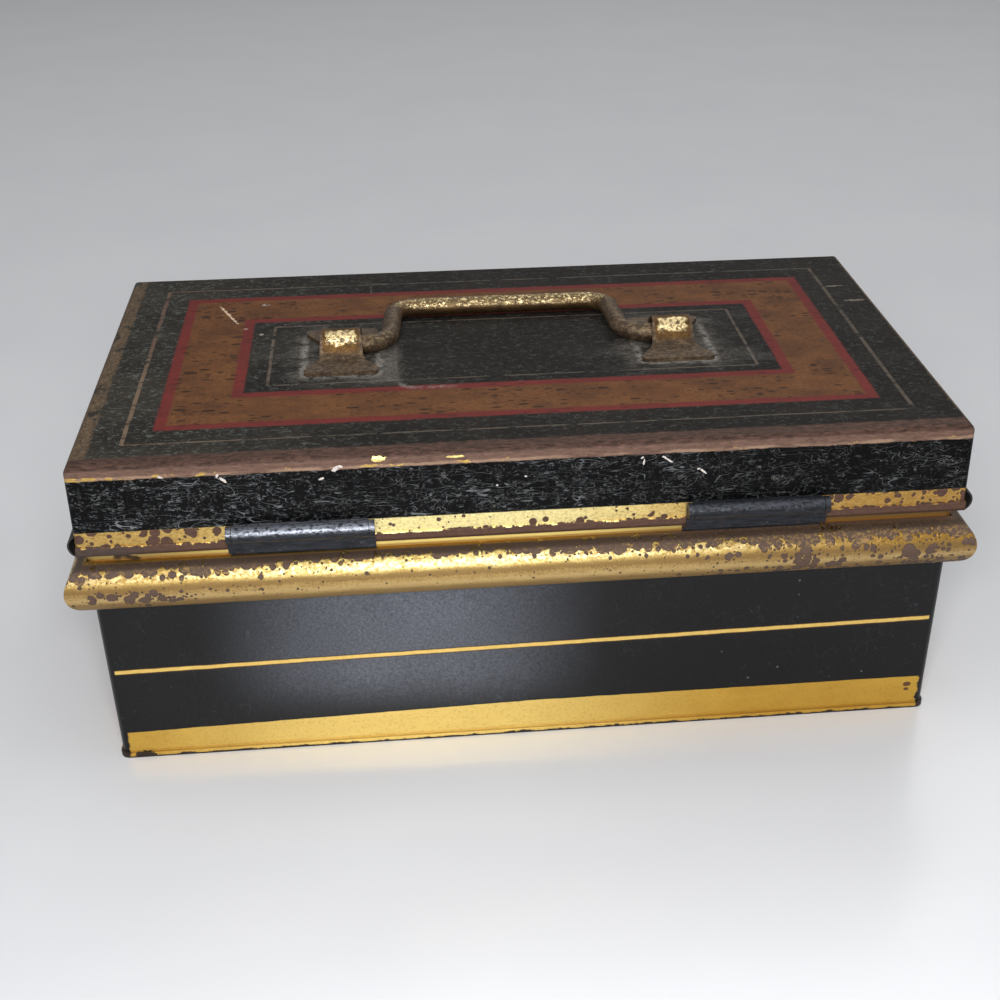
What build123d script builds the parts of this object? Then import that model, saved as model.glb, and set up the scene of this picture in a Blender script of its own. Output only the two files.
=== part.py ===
from build123d import *
from math import atan, degrees
import os

# A small japanned tinplate deed box: a tapered body with a folded bottom and a half-round
# moulding, a shallow lid on two barrel hinges, a swing handle in two saddle ears, and a
# warded lock whose bolt passes through a staple on the lid.
# X runs along the box, +Y is the hinge side, +Z is up, and the origin is on the table in
# the middle of the lid's outline. Left is -X, as seen from the lock side. Sizes are in
# millimetres.

# Lid and overall size
lid_width = 254.0
lid_depth = 145.6
box_height = 101.4
lid_height = 27.4
lid_corner_radius = 1.0
lid_edge_radius = 1.8
lid_hem_height = 2.9
lid_hem_proud = 0.5
tin = 0.6

# Body
side_inset = 1.4
front_inset = 1.5
back_inset = 4.5
body_corner_radius = 2.2
wall_taper = 1.0
rim_overlap = 12.0
rim_hem_height = 4.0
seam_flange = 0.3
seam_fold = 0.4

# Half-round mouldings: the heavy one round the body, the small one round the lid's edge
moulding_sheet = 0.5
bead_gap = 4.3
bead_height = 15.4
bead_proud = 6.3
lid_bead_height = 6.5
lid_bead_proud = 2.1
mitre_gap = 0.2

# Hinges
hinge_centre = 64.8
hinge_length = 41.0
hinge_drop = 21.5
knuckle_radius = 2.45
knuckle_standoff = 0.3
knuckle_gap = 0.15
end_knuckle = 1.5
leaf_sheet = 0.5
leaf_rise = 1.7
leaf_clearance = 0.3
leaf_under_lid = 0.3
leaf_tail = 10.0
leaf_spare = 0.05
pin_radius = 1.15
pin_clearance = 0.06
pin_recess = 0.8

# Swing handle and its saddle ears
wire_radius = 2.95
wire_clearance = 0.08
handle_x = 0.7
handle_y = 1.0
grip_reach = 30.0
grip_half_width = 35.3
foot_half_width = 37.3
grip_bend_radius = 7.5
foot_bend_radius = 8.6
ear_x = 52.3
ear_sheet = 1.2
ear_headroom = 1.0
ear_crown = 2.1
ear_shoulder = 6.5
ear_foot_bend = 4.5
ear_neck_width = 12.0
ear_flare_start = 7.0
ear_flare_width = 13.6
ear_foot_width = 22.8
ear_foot_straight = 2.6
ear_foot_length = 17.2
ear_flare_radius = 6.0
ear_corner_radius = 1.8
wire_end_inset = 0.6

# Lock
case_width = 46.0
case_depth = 12.0
case_sheet = 1.0
case_below_rim = 1.6
case_height = 52.0
key_drop = 10.4
keyhole_radius = 3.0
keyhole_slot_width = 2.4
keyhole_slot_length = 8.0
key_post_radius = 1.4
bolt_height = 7.0
bolt_thickness = 4.0
bolt_length = 24.0
bolt_travel = 7.0
bolt_below_case_top = 5.5
tail_width = 12.0
talon_width = 6.0
talon_depth = 5.0
talon_above_key = 6.0
stud_radius = 1.6
stud_clearance = 0.08
spring_sheet = 0.4
spring_width = 5.0
spring_clearance = 0.1
rivet_radius = 1.2
rivet_head_radius = 2.2
rivet_head_height = 0.9
rivet_side_margin = 4.0
rivet_low_drop = 7.0
screw_radius = 1.2
screw_head_radius = 2.4
screw_head_height = 1.2

# Staple that hangs from the lid into the lock
staple_sheet = 1.6
staple_gap = 2.4
window_clearance_y = 0.3
window_clearance_z = 0.5
window_frame = 2.0
staple_plate_width = 20.0
staple_plate_height = 9.0
staple_plate_sheet = 1.2
staple_over_rim = 1.6

# Keyhole plate
plate_width = 15.0
plate_height = 17.0
plate_sheet = 0.8
plate_pin_radius = 0.8
plate_pin_margin = 2.0

# Levels and faces that follow from the sizes above
lid_bottom = box_height - lid_height
lid_back = lid_depth / 2
lid_front = -lid_depth / 2
lid_side = lid_width / 2
body_side = lid_side - side_inset
body_back = lid_back - back_inset
body_front = lid_front + front_inset
body_width = 2 * body_side
body_depth = body_back - body_front
body_mid_y = (body_back + body_front) / 2
rim_top = lid_bottom + rim_overlap
bead_top = lid_bottom - bead_gap
bead_bottom = bead_top - bead_height
hinge_y = lid_back + knuckle_standoff + knuckle_radius
hinge_z = box_height - hinge_drop
wire_z = box_height + wire_radius + wire_clearance
key_z = bead_bottom - key_drop


def block(x0, x1, y0, y1, z0, z1):
    """A box between two corners."""
    middle = Pos((x0 + x1) / 2, (y0 + y1) / 2, (z0 + z1) / 2)
    return middle * Box(x1 - x0, y1 - y0, z1 - z0)


def rod_y(x, z, radius, y0, y1):
    """A round rod along Y."""
    return Pos(x, (y0 + y1) / 2, z) * Rot(90, 0, 0) * Cylinder(radius, y1 - y0)


def rod_x(y, z, radius, x0, x1):
    """A round rod along X."""
    return Pos((x0 + x1) / 2, y, z) * Rot(0, 90, 0) * Cylinder(radius, x1 - x0)


def rounded_block(width, depth, radius, z0, z1, y=0.0):
    """An upright block with rounded corners, centred on X = 0."""
    outline = Pos(0, y, z0) * RectangleRounded(width, depth, radius)
    return extrude(outline, z1 - z0)


def keyhole(y0, y1):
    """The round hole and the slot below it that the key goes through, along Y."""
    half_slot = keyhole_slot_width / 2
    slot = block(-half_slot, half_slot, y0, y1, key_z - keyhole_slot_length, key_z)
    return rod_y(0, key_z, keyhole_radius, y0, y1) + slot


# ---- Body ----------------------------------------------------------------------------

case_top = rim_top - case_below_rim
case_bottom = case_top - case_height
case_front = body_front + 2 * tin
case_back = case_front + case_depth
case_half = case_width / 2
rivet_x = case_half - rivet_side_margin
rivet_levels = ((bead_top + bead_bottom) / 2, key_z - rivet_low_drop)
rivet_places = [(x, z) for x in (-rivet_x, rivet_x) for z in rivet_levels]
plate_top = key_z + plate_height / 2
plate_low = key_z - plate_height / 2 - keyhole_slot_length / 2
plate_pin_levels = (plate_top - plate_pin_margin, plate_low + plate_pin_margin)
wall_lean = degrees(atan(wall_taper / (bead_bottom - tin)))


def front_seat(x, z):
    """A place on the outer face of the front wall, leaning with it below the moulding."""
    below = max(bead_bottom - z, 0)
    y = body_front + wall_taper * below / (bead_bottom - tin)
    return Pos(x, y, z) * Rot(wall_lean if below else 0, 0, 0)


def body_skin(offset):
    """The body's walls as a full block, tapered below the moulding, shrunk by offset."""
    radius = body_corner_radius - offset
    width = body_width - 2 * offset
    depth = body_depth - 2 * offset
    foot = Pos(0, body_mid_y, tin) * RectangleRounded(
        width - 2 * wall_taper, depth - 2 * wall_taper, radius
    )
    shoulder = Pos(0, body_mid_y, bead_bottom) * RectangleRounded(width, depth, radius)
    upper = rounded_block(width, depth, radius, bead_bottom, rim_top, body_mid_y)
    return loft([foot, shoulder], ruled=True) + upper


def make_body_shell():
    """Four tapered walls with a folded rim and a turned-out foot."""
    shell = body_skin(0) - body_skin(tin)
    hem_low = rim_top - rim_hem_height
    hem = rounded_block(
        body_width - 2 * tin, body_depth - 2 * tin, body_corner_radius - tin,
        hem_low, rim_top, body_mid_y,
    )
    hem -= rounded_block(
        body_width - 4 * tin, body_depth - 4 * tin, body_corner_radius - 2 * tin,
        hem_low, rim_top, body_mid_y,
    )
    foot_width = body_width - 2 * wall_taper
    foot_depth = body_depth - 2 * wall_taper
    flange = rounded_block(
        foot_width + 2 * seam_flange, foot_depth + 2 * seam_flange,
        body_corner_radius + seam_flange, tin, 2 * tin, body_mid_y,
    )
    flange -= rounded_block(
        foot_width - 2 * tin, foot_depth - 2 * tin, body_corner_radius - tin,
        tin, 2 * tin, body_mid_y,
    )
    shell = shell + hem + flange
    shell -= keyhole(body_front - 1, case_front + 1)
    for x, z in rivet_places:
        shell -= rod_y(x, z, rivet_radius, body_front - 1, case_front + 1)
    for z in plate_pin_levels:
        shell -= rod_y(0, z, plate_pin_radius, body_front - 1, case_front)
    return shell


def make_bottom_plate():
    """A flat sheet whose edge is folded up and back over the walls' turned-out foot."""
    reach = seam_flange + seam_fold
    width = body_width - 2 * wall_taper
    depth = body_depth - 2 * wall_taper
    radius = body_corner_radius
    top = 2 * tin + seam_fold
    plate = rounded_block(
        width + 2 * reach, depth + 2 * reach, radius + reach, 0, top, body_mid_y
    )
    plate -= rounded_block(
        width + 2 * seam_flange, depth + 2 * seam_flange, radius + seam_flange,
        tin, 2 * tin, body_mid_y,
    )
    leaning_wall = body_skin(0) & block(
        -body_side, body_side, body_front, body_back, tin, top
    )
    plate -= rounded_block(width, depth, radius, tin, top, body_mid_y)
    return plate - leaning_wall


# ---- Mouldings -----------------------------------------------------------------------

def moulding(length, height, proud, mitres):
    """A hollow half-round strip along X on the plane Y = 0, standing out towards +Y.

    mitres says for its two ends whether it is cut at 45 degrees to meet a neighbour.
    """
    radius = (height * height / 4 + proud * proud) / (2 * proud)
    reach = length / 2 + proud
    centre_y = proud - radius
    strip = rod_x(centre_y, 0, radius, -reach, reach)
    strip -= rod_x(centre_y, 0, radius - moulding_sheet, -reach, reach)
    strip &= block(-reach, reach, 0, proud, -height, height)
    left, right = (length / 2 - (mitre_gap / 2 if m else 0) for m in mitres)
    plan = Polyline(
        (-left, 0), (right, 0),
        (right + (proud if mitres[1] else 0), proud),
        (-left - (proud if mitres[0] else 0), proud),
        close=True,
    )
    return strip & extrude(Pos(0, 0, -height) * make_face(plan), 2 * height)


def on_side(strip, x, y, z, angle):
    """Moves a strip from its own plane to a wall that faces the way angle gives."""
    return Pos(x, y, z) * Rot(0, 0, angle) * strip


def make_body_beads():
    """The four mitred strips of the heavy moulding."""
    middle_z = (bead_top + bead_bottom) / 2
    both = (True, True)
    long_strip = moulding(body_width, bead_height, bead_proud, both)
    short_strip = moulding(body_depth, bead_height, bead_proud, both)
    back = on_side(long_strip, 0, body_back, middle_z, 0)
    for side in (1, -1):
        back -= tail_block(side, leaf_spare)
    return {
        "bead_back": back,
        "bead_front": on_side(long_strip, 0, body_front, middle_z, 180),
        "bead_left": on_side(short_strip, -body_side, body_mid_y, middle_z, 90),
        "bead_right": on_side(short_strip, body_side, body_mid_y, middle_z, -90),
    }


def make_lid_beads():
    """The lid's small moulding: mitred at the front corners, cut square at the back."""
    middle_z = lid_bottom + lid_bead_height / 2
    front = moulding(lid_width, lid_bead_height, lid_bead_proud, (True, True))
    left = moulding(lid_depth, lid_bead_height, lid_bead_proud, (True, False))
    right = moulding(lid_depth, lid_bead_height, lid_bead_proud, (False, True))
    return {
        "lid_bead_front": on_side(front, 0, lid_front, middle_z, 180),
        "lid_bead_left": on_side(left, -lid_side, 0, middle_z, 90),
        "lid_bead_right": on_side(right, lid_side, 0, middle_z, -90),
    }


# ---- Lid -----------------------------------------------------------------------------

def lid_skin(offset):
    """The lid's outer or inner form as a full block."""
    radius = max(lid_corner_radius - offset, 0.2)
    form = rounded_block(
        lid_width - 2 * offset, lid_depth - 2 * offset, radius,
        lid_bottom, box_height - offset,
    )
    top_edges = form.faces().sort_by(Axis.Z)[-1].edges()
    return fillet(top_edges, max(lid_edge_radius - offset, 0.3))


staple_plate_top = box_height - tin - lid_edge_radius
staple_plate_low = staple_plate_top - staple_plate_height
staple_rivet_z = (staple_plate_top + staple_plate_low) / 2
staple_x = bolt_length / 2 - 8.0 + staple_gap


def make_lid_shell():
    """A shallow pressed lid, its back edge turned up outside as a flat hem."""
    shell = lid_skin(0) - lid_skin(tin)
    hem = block(
        -lid_side, lid_side, lid_back - tin, lid_back + lid_hem_proud,
        lid_bottom, lid_bottom + lid_hem_height,
    )
    outer_edges = hem.edges().filter_by(Axis.X).group_by(Axis.Y)[-1]
    hem = fillet(outer_edges, lid_hem_proud * 0.9)
    shell += hem
    for x in staple_rivet_xs():
        shell -= rod_y(x, staple_rivet_z, rivet_radius, lid_front - 1, lid_front + 2)
    return shell


def staple_rivet_xs():
    """The two rivets stand either side of the staple's tongue."""
    reach = staple_plate_width / 2 - 1.3 * rivet_head_radius
    return (staple_x - reach, staple_x + reach)


# ---- Hinges --------------------------------------------------------------------------

leaf_top = lid_bottom - leaf_under_lid


def tail_block(side, spare=0.0):
    """The part of a body leaf that lies flat on the back wall, behind the moulding."""
    x0 = side * hinge_centre - hinge_length / 2
    return block(
        x0 - spare, x0 + hinge_length + spare, body_back, body_back + leaf_sheet + spare,
        bead_top - leaf_tail - spare, leaf_top,
    )


def make_body_leaf(side):
    """Two end knuckles, a strip below the barrel, and a step under the lid to the wall."""
    x0 = side * hinge_centre - hinge_length / 2
    x1 = x0 + hinge_length
    strip_y0 = lid_back + lid_hem_proud + leaf_clearance
    strip_y1 = strip_y0 + leaf_sheet
    strip_top = hinge_z - knuckle_radius - leaf_clearance
    leaf = block(x0, x1, strip_y0, strip_y1, leaf_top - leaf_sheet, strip_top)
    leaf += block(x0, x1, body_back, strip_y1, leaf_top - leaf_sheet, leaf_top)
    leaf += tail_block(side)
    for start in (x0, x1 - end_knuckle):
        leaf += block(start, start + end_knuckle, strip_y0, strip_y1, strip_top, hinge_z)
        leaf += rod_x(hinge_y, hinge_z, knuckle_radius, start, start + end_knuckle)
    return leaf - rod_x(hinge_y, hinge_z, pin_radius, x0 - 1, x1 + 1)


def make_lid_leaf(side):
    """The long middle knuckle and the narrow leaf above it on the lid's back wall."""
    reach = hinge_length / 2 - end_knuckle - knuckle_gap
    x0 = side * hinge_centre - reach
    x1 = side * hinge_centre + reach
    leaf_low = lid_bottom + lid_hem_height + leaf_clearance
    leaf = block(x0, x1, lid_back, lid_back + leaf_sheet, leaf_low, hinge_z + leaf_rise)
    leaf += rod_x(hinge_y, hinge_z, knuckle_radius, x0, x1)
    return leaf - rod_x(hinge_y, hinge_z, pin_radius + pin_clearance, x0 - 1, x1 + 1)


def make_hinge_pin(side):
    """A plain wire pin, a little shorter than the barrel."""
    reach = hinge_length / 2 - pin_recess
    middle = side * hinge_centre
    return rod_x(hinge_y, hinge_z, pin_radius, middle - reach, middle + reach)


# ---- Handle --------------------------------------------------------------------------

def make_handle():
    """One bent wire: grip, two slightly spread legs, and ends turned out into the ears."""
    end_x = ear_x + ear_neck_width / 2 - wire_end_inset
    grip_y = handle_y - grip_reach
    half_path = [(end_x, handle_y), (foot_half_width, handle_y), (grip_half_width, grip_y)]
    left = [(handle_x - x, y, wire_z) for x, y in half_path]
    right = [(handle_x + x, y, wire_z) for x, y in reversed(half_path)]
    bends = [foot_bend_radius, grip_bend_radius, grip_bend_radius, foot_bend_radius]
    path = FilletPolyline(*left, *right, radius=bends)
    section = Plane(origin=path @ 0, z_dir=path % 0) * Circle(wire_radius)
    return sweep(section, path=path)


def ear_plan():
    """An ear's outline seen from above: a narrow neck flaring into two wide feet."""
    neck = ear_neck_width / 2
    flare = ear_flare_width / 2
    wide = ear_foot_width / 2
    straight_y = ear_foot_length - ear_foot_straight
    foot = make_face(Polyline(
        (neck, 0), (flare, ear_flare_start), (wide, straight_y), (wide, ear_foot_length),
        (-wide, ear_foot_length), (-wide, straight_y), (-flare, ear_flare_start), (-neck, 0),
        close=True,
    ))
    foot = fillet(foot.vertices().group_by(Axis.Y)[-1], ear_corner_radius)
    foot = fillet(foot.vertices().group_by(Axis.Y)[1], ear_flare_radius)
    return foot + mirror(foot, Plane.XZ)


def make_ear(side):
    """A saddle of sheet brass: an arch over the wire between two flared feet."""
    half = ear_sheet / 2
    crown_z = 2 * (wire_radius + wire_clearance) + ear_headroom + half
    arch_radius = wire_radius + wire_clearance + half
    line = FilletPolyline(
        (-ear_foot_length, half), (-ear_shoulder, half), (-ear_crown, crown_z),
        (ear_crown, crown_z), (ear_shoulder, half), (ear_foot_length, half),
        radius=[ear_foot_bend, arch_radius, arch_radius, ear_foot_bend],
    )
    width = ear_foot_width + 2
    side_plane = Plane(origin=(-width / 2, 0, box_height), x_dir=(0, 1, 0), z_dir=(1, 0, 0))
    strip = extrude(side_plane * trace(line, ear_sheet), width)
    cutter = extrude(Pos(0, 0, box_height) * ear_plan(), 4 * wire_radius)
    return Pos(handle_x + side * ear_x, handle_y, 0) * (strip & cutter)


# ---- Lock ----------------------------------------------------------------------------

bolt_top = case_top - bolt_below_case_top
bolt_low = bolt_top - bolt_height
bolt_mid_y = (case_front + case_back) / 2
bolt_y0 = bolt_mid_y - bolt_thickness / 2
bolt_y1 = bolt_mid_y + bolt_thickness / 2
bolt_nose = staple_x - staple_gap
bolt_heel = bolt_nose - bolt_length
stud_x = bolt_heel + bolt_length / 2 - 1.0
cap_face = case_back - case_sheet
screw_level = (case_bottom + bolt_low) / 2
tongue_y0 = bolt_y0 - window_clearance_y - window_frame
tongue_y1 = bolt_y1 + window_clearance_y + window_frame
tongue_low = bolt_low - window_clearance_z - window_frame


def screw_places():
    """The cap's two screws stand level with the middle of the case."""
    return [(side * rivet_x, screw_level) for side in (-1, 1)]


def make_lock_case():
    """A pressed tray behind the front wall, open at the back, slotted for the staple."""
    case = block(-case_half, case_half, case_front, cap_face, case_bottom, case_top)
    case -= block(
        -case_half + case_sheet, case_half - case_sheet, case_front + case_sheet,
        cap_face, case_bottom + case_sheet, case_top - case_sheet,
    )
    slot_room = staple_sheet / 2 + 2 * window_clearance_z
    case -= block(
        staple_x + staple_sheet / 2 - slot_room, staple_x + staple_sheet / 2 + slot_room,
        case_front + case_sheet, cap_face, case_top - 2 * case_sheet, case_top + 1,
    )
    case -= keyhole(case_front - 1, case_front + case_sheet + 1)
    for x, z in rivet_places:
        case -= rod_y(x, z, rivet_radius, case_front - 1, case_front + case_sheet + 1)
    for x, z in screw_places():
        case -= rod_y(x, z, screw_radius, case_front - 1, case_front + case_sheet + 1)
    case -= rod_y(
        stud_x, (bolt_top + bolt_low) / 2, stud_radius,
        case_front - 1, case_front + case_sheet + 1,
    )
    return case


def make_lock_cap():
    """The plate that closes the back of the lock case."""
    cap = block(-case_half, case_half, cap_face, case_back, case_bottom, case_top)
    for x, z in screw_places():
        cap -= rod_y(x, z, screw_radius, cap_face - 1, case_back + 1)
    return cap - rod_y(0, key_z, key_post_radius, cap_face - 1, case_back + 1)


def make_lock_bolt():
    """A bar with a guide slot, and a tail down to the key with the talon in its end."""
    bolt = block(bolt_heel, bolt_nose, bolt_y0, bolt_y1, bolt_low, bolt_top)
    tail_right = -bolt_travel / 2 + talon_width / 2 + 1.5
    tail_low = key_z + talon_above_key
    neck_right = tail_right - 4.0
    step_z = tongue_low - 2 * window_clearance_z
    tail_left = neck_right - tail_width
    bolt += block(tail_left, neck_right, bolt_y0, bolt_y1, tail_low, bolt_low)
    bolt += block(tail_left, tail_right, bolt_y0, bolt_y1, tail_low, step_z)
    talon_mid = -bolt_travel / 2
    bolt -= block(
        talon_mid - talon_width / 2, talon_mid + talon_width / 2, bolt_y0, bolt_y1,
        tail_low, tail_low + talon_depth,
    )
    guide = stud_radius + stud_clearance
    middle_z = (bolt_top + bolt_low) / 2
    for x in (stud_x, stud_x - bolt_travel):
        bolt -= rod_y(x, middle_z, guide, bolt_y0 - 1, bolt_y1 + 1)
    return bolt - block(
        stud_x - bolt_travel, stud_x, bolt_y0 - 1, bolt_y1 + 1,
        middle_z - guide, middle_z + guide,
    )


def make_bolt_stud():
    """The fixed stud that the bolt's slot slides on, with a washer head."""
    middle_z = (bolt_top + bolt_low) / 2
    head_y = bolt_y1 + spring_clearance
    stud = rod_y(stud_x, middle_z, stud_radius, case_front, head_y)
    return stud + rod_y(stud_x, middle_z, 1.6 * stud_radius, head_y, head_y + case_sheet)


def make_bolt_spring():
    """A leaf fixed to the case's end wall that presses on the top of the bolt."""
    wall_x = -case_half + case_sheet
    touch_x = bolt_heel + bolt_length / 2
    low = bolt_top + spring_clearance + spring_sheet / 2
    high = case_top - case_sheet - 2 * spring_sheet
    half = spring_sheet / 2
    leaf_line = FilletPolyline(
        (wall_x + half, bolt_top + spring_clearance + half, 0),
        (wall_x + half, high, 0), (wall_x + 4.0, high, 0),
        (touch_x - 3.0, low, 0), (touch_x + 3.0, low + 1.0, 0),
        radius=[1.0, 1.0, 1.0],
    )
    band = trace(leaf_line, spring_sheet)
    upright = Plane(
        origin=(0, bolt_mid_y + spring_width / 2, 0), x_dir=(1, 0, 0), z_dir=(0, -1, 0)
    )
    return extrude(upright * band, spring_width)


def make_key_post():
    """The pin that the hollow key turns on, riveted into the cap."""
    return rod_y(0, key_z, key_post_radius, case_front + case_sheet / 2, case_back)


def head(outward, radius, height):
    """A low round head on the plane Y = 0, standing out towards outward."""
    face = Plane(origin=(0, 0, 0), z_dir=(0, outward, 0))
    return face * Pos(0, 0, height / 2) * Cone(radius, 0.6 * radius, height)


def make_lock_rivets():
    """Four rivets that hold the lock case to the front wall."""
    inner = case_front + case_sheet
    rivets = []
    for x, z in rivet_places:
        seat = front_seat(x, z)
        start = seat.position.Y - rivet_head_height / 2
        rivet = rod_y(x, z, rivet_radius, start, inner)
        rivet += seat * head(-1, rivet_head_radius, rivet_head_height)
        rivet += Pos(x, inner, z) * head(1, rivet_head_radius, rivet_head_height)
        rivets.append(rivet)
    return rivets


def make_cap_screws():
    """Two slotted screws through the cap into the front of the case."""
    screws = []
    for x, z in screw_places():
        screw = rod_y(x, z, screw_radius, case_front, case_back)
        screw += rod_y(x, z, screw_head_radius, case_back, case_back + screw_head_height)
        screw -= block(
            x - screw_head_radius, x + screw_head_radius,
            case_back + screw_head_height / 2, case_back + 2 * screw_head_height,
            z - screw_head_height / 4, z + screw_head_height / 4,
        )
        screws.append(screw)
    return screws


def make_escutcheon():
    """A brass plate with rounded ends round the keyhole."""
    outline = RectangleRounded(plate_width, plate_top - plate_low, plate_width / 2 - 1)
    face = Plane(origin=(0, 0, 0), x_dir=(1, 0, 0), z_dir=(0, -1, 0))
    plate = front_seat(0, (plate_top + plate_low) / 2) * extrude(face * outline, plate_sheet)
    for z in plate_pin_levels:
        plate -= rod_y(0, z, plate_pin_radius, body_front - 2, case_front)
    return plate - keyhole(body_front - 2, case_front)


def make_escutcheon_pins():
    """Two small pins, one above and one below the keyhole, clinched inside the wall."""
    pins = []
    for z in plate_pin_levels:
        seat = front_seat(0, z)
        wall = seat.position.Y
        pin = rod_y(0, z, plate_pin_radius, wall - 1.2 * plate_sheet, wall + tin)
        pin_head = head(-1, 1.6 * plate_pin_radius, plate_pin_radius / 2)
        pins.append(pin + seat * Pos(0, -plate_sheet, 0) * pin_head)
    return pins


def make_lid_staple():
    """A plate on the lid's front wall with a windowed tongue that drops into the lock."""
    wall = lid_front + tin
    x0 = staple_x
    x1 = staple_x + staple_sheet
    plate_x0 = staple_x + (staple_sheet - staple_plate_width) / 2
    staple = block(
        plate_x0, plate_x0 + staple_plate_width, wall, wall + staple_plate_sheet,
        staple_plate_low, staple_plate_top,
    )
    staple += block(x0, x1, wall, tongue_y1, rim_top + staple_over_rim, staple_plate_top)
    staple += block(x0, x1, tongue_y0, tongue_y1, tongue_low, staple_plate_top)
    staple -= block(
        x0 - 1, x1 + 1, bolt_y0 - window_clearance_y, bolt_y1 + window_clearance_y,
        bolt_low - window_clearance_z, bolt_top + window_clearance_z,
    )
    for x in staple_rivet_xs():
        staple -= rod_y(x, staple_rivet_z, rivet_radius, wall - 1, wall + 3)
    return staple


def make_staple_rivets():
    """Two rivets that hold the staple to the lid's front wall."""
    inner = lid_front + tin + staple_plate_sheet
    outer_head = head(-1, rivet_head_radius, rivet_head_height)
    inner_head = head(1, rivet_head_radius, rivet_head_height)
    rivets = []
    for x in staple_rivet_xs():
        rivet = rod_y(x, staple_rivet_z, rivet_radius, lid_front, inner)
        rivet += Pos(x, lid_front, staple_rivet_z) * outer_head
        rivet += Pos(x, inner, staple_rivet_z) * inner_head
        rivets.append(rivet)
    return rivets


# ---- Writing the pieces --------------------------------------------------------------

parts = {
    "body_shell": make_body_shell(),
    "bottom_plate": make_bottom_plate(),
    "lid_shell": make_lid_shell(),
    "hinge_leaf_body_left": make_body_leaf(-1),
    "hinge_leaf_body_right": make_body_leaf(1),
    "hinge_leaf_lid_left": make_lid_leaf(-1),
    "hinge_leaf_lid_right": make_lid_leaf(1),
    "hinge_pin_left": make_hinge_pin(-1),
    "hinge_pin_right": make_hinge_pin(1),
    "handle_bail": make_handle(),
    "handle_ear_left": make_ear(-1),
    "handle_ear_right": make_ear(1),
    "lock_case": make_lock_case(),
    "lock_cap": make_lock_cap(),
    "lock_bolt": make_lock_bolt(),
    "bolt_stud": make_bolt_stud(),
    "bolt_spring": make_bolt_spring(),
    "key_post": make_key_post(),
    "lock_rivets": make_lock_rivets(),
    "cap_screws": make_cap_screws(),
    "escutcheon": make_escutcheon(),
    "escutcheon_pins": make_escutcheon_pins(),
    "lid_staple": make_lid_staple(),
    "staple_rivets": make_staple_rivets(),
}
parts.update(make_body_beads())
parts.update(make_lid_beads())

os.makedirs("parts", exist_ok=True)
for name, piece in parts.items():
    solids = piece if isinstance(piece, list) else [piece]
    whole = Compound(children=[s.solid() if len(solids) == 1 else s for s in solids])
    export_step(whole, os.path.join("parts", name + ".step"))
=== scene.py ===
"""The deed box's looks: materials, worn paint, crumbs of paint, floor, lamps and camera.

Every CAD node is shown in its own shape, with a procedural material. The one added piece is
a few crumbs of white paint on the lid. Materials work in millimetres in the part's own frame:
+X is the photo's left, +Y the hinge side that faces the camera, +Z up. Colours are screen
values from 0 to 255. Masks run from 0 to 1.
"""

import math
import random

import bmesh
import bpy
from mathutils import Matrix, Vector


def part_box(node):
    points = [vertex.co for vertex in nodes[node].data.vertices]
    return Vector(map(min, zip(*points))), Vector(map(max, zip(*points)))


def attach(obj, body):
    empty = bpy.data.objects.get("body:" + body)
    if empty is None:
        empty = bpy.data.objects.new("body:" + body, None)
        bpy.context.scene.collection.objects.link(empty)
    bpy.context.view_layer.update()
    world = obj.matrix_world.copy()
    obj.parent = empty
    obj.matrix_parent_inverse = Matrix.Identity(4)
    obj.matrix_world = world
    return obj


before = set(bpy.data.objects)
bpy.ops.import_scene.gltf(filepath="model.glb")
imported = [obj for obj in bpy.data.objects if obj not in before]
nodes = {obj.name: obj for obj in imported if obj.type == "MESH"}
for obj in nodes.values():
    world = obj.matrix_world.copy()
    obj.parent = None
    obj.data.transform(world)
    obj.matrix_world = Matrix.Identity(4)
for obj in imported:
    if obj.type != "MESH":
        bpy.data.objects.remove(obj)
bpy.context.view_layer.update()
scene = bpy.context.scene

MM = 0.001

# Sizes in millimetres, read from the frame where a node gives them
lid_low, lid_high = (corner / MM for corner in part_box("lid_shell"))
bead_low, bead_high = (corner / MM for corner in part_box("bead_back"))
shell_low, shell_high = (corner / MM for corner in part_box("body_shell"))
ear_low, ear_high = (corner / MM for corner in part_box("handle_ear_right"))
wire_low, wire_high = (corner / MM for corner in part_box("handle_bail"))
pin_low, pin_high = (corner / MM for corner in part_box("hinge_pin_left"))
LID_TOP = lid_high.z
LID_BOTTOM = lid_low.z
LID_X = lid_high.x
LID_Y = -lid_low.y
BEAD_MID = (bead_low.z + bead_high.z) / 2
BEAD_HALF = (bead_high.z - bead_low.z) / 2
BODY_MID_Y = (shell_low.y + shell_high.y) / 2
HANDLE_X = (wire_low.x + wire_high.x) / 2
EAR_X = (ear_low.x + ear_high.x) / 2 - HANDLE_X
EAR_Y = (ear_low.y + ear_high.y) / 2
HINGE_Z = (pin_low.z + pin_high.z) / 2
LID_BEAD_HALF = 3.25
LID_BEAD_GILT_END = LID_Y - 14  # its side strips are bare metal past here along Y

# Lining on the lid's top: half lengths along X and Y of rectangles round its middle
BAND = (105.5, 51.5)  # outer edge of the red and brown band
BAND_WIDTH = 23.6
BROWN = (3.3, 20.2)  # from the band's outer edge: red shows on both sides of it
PANEL = (82, 28)  # black panel inside the band
OUTER_LINE = (113.1, 59.7)
INNER_LINE = (75.1, 23.4)

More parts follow.
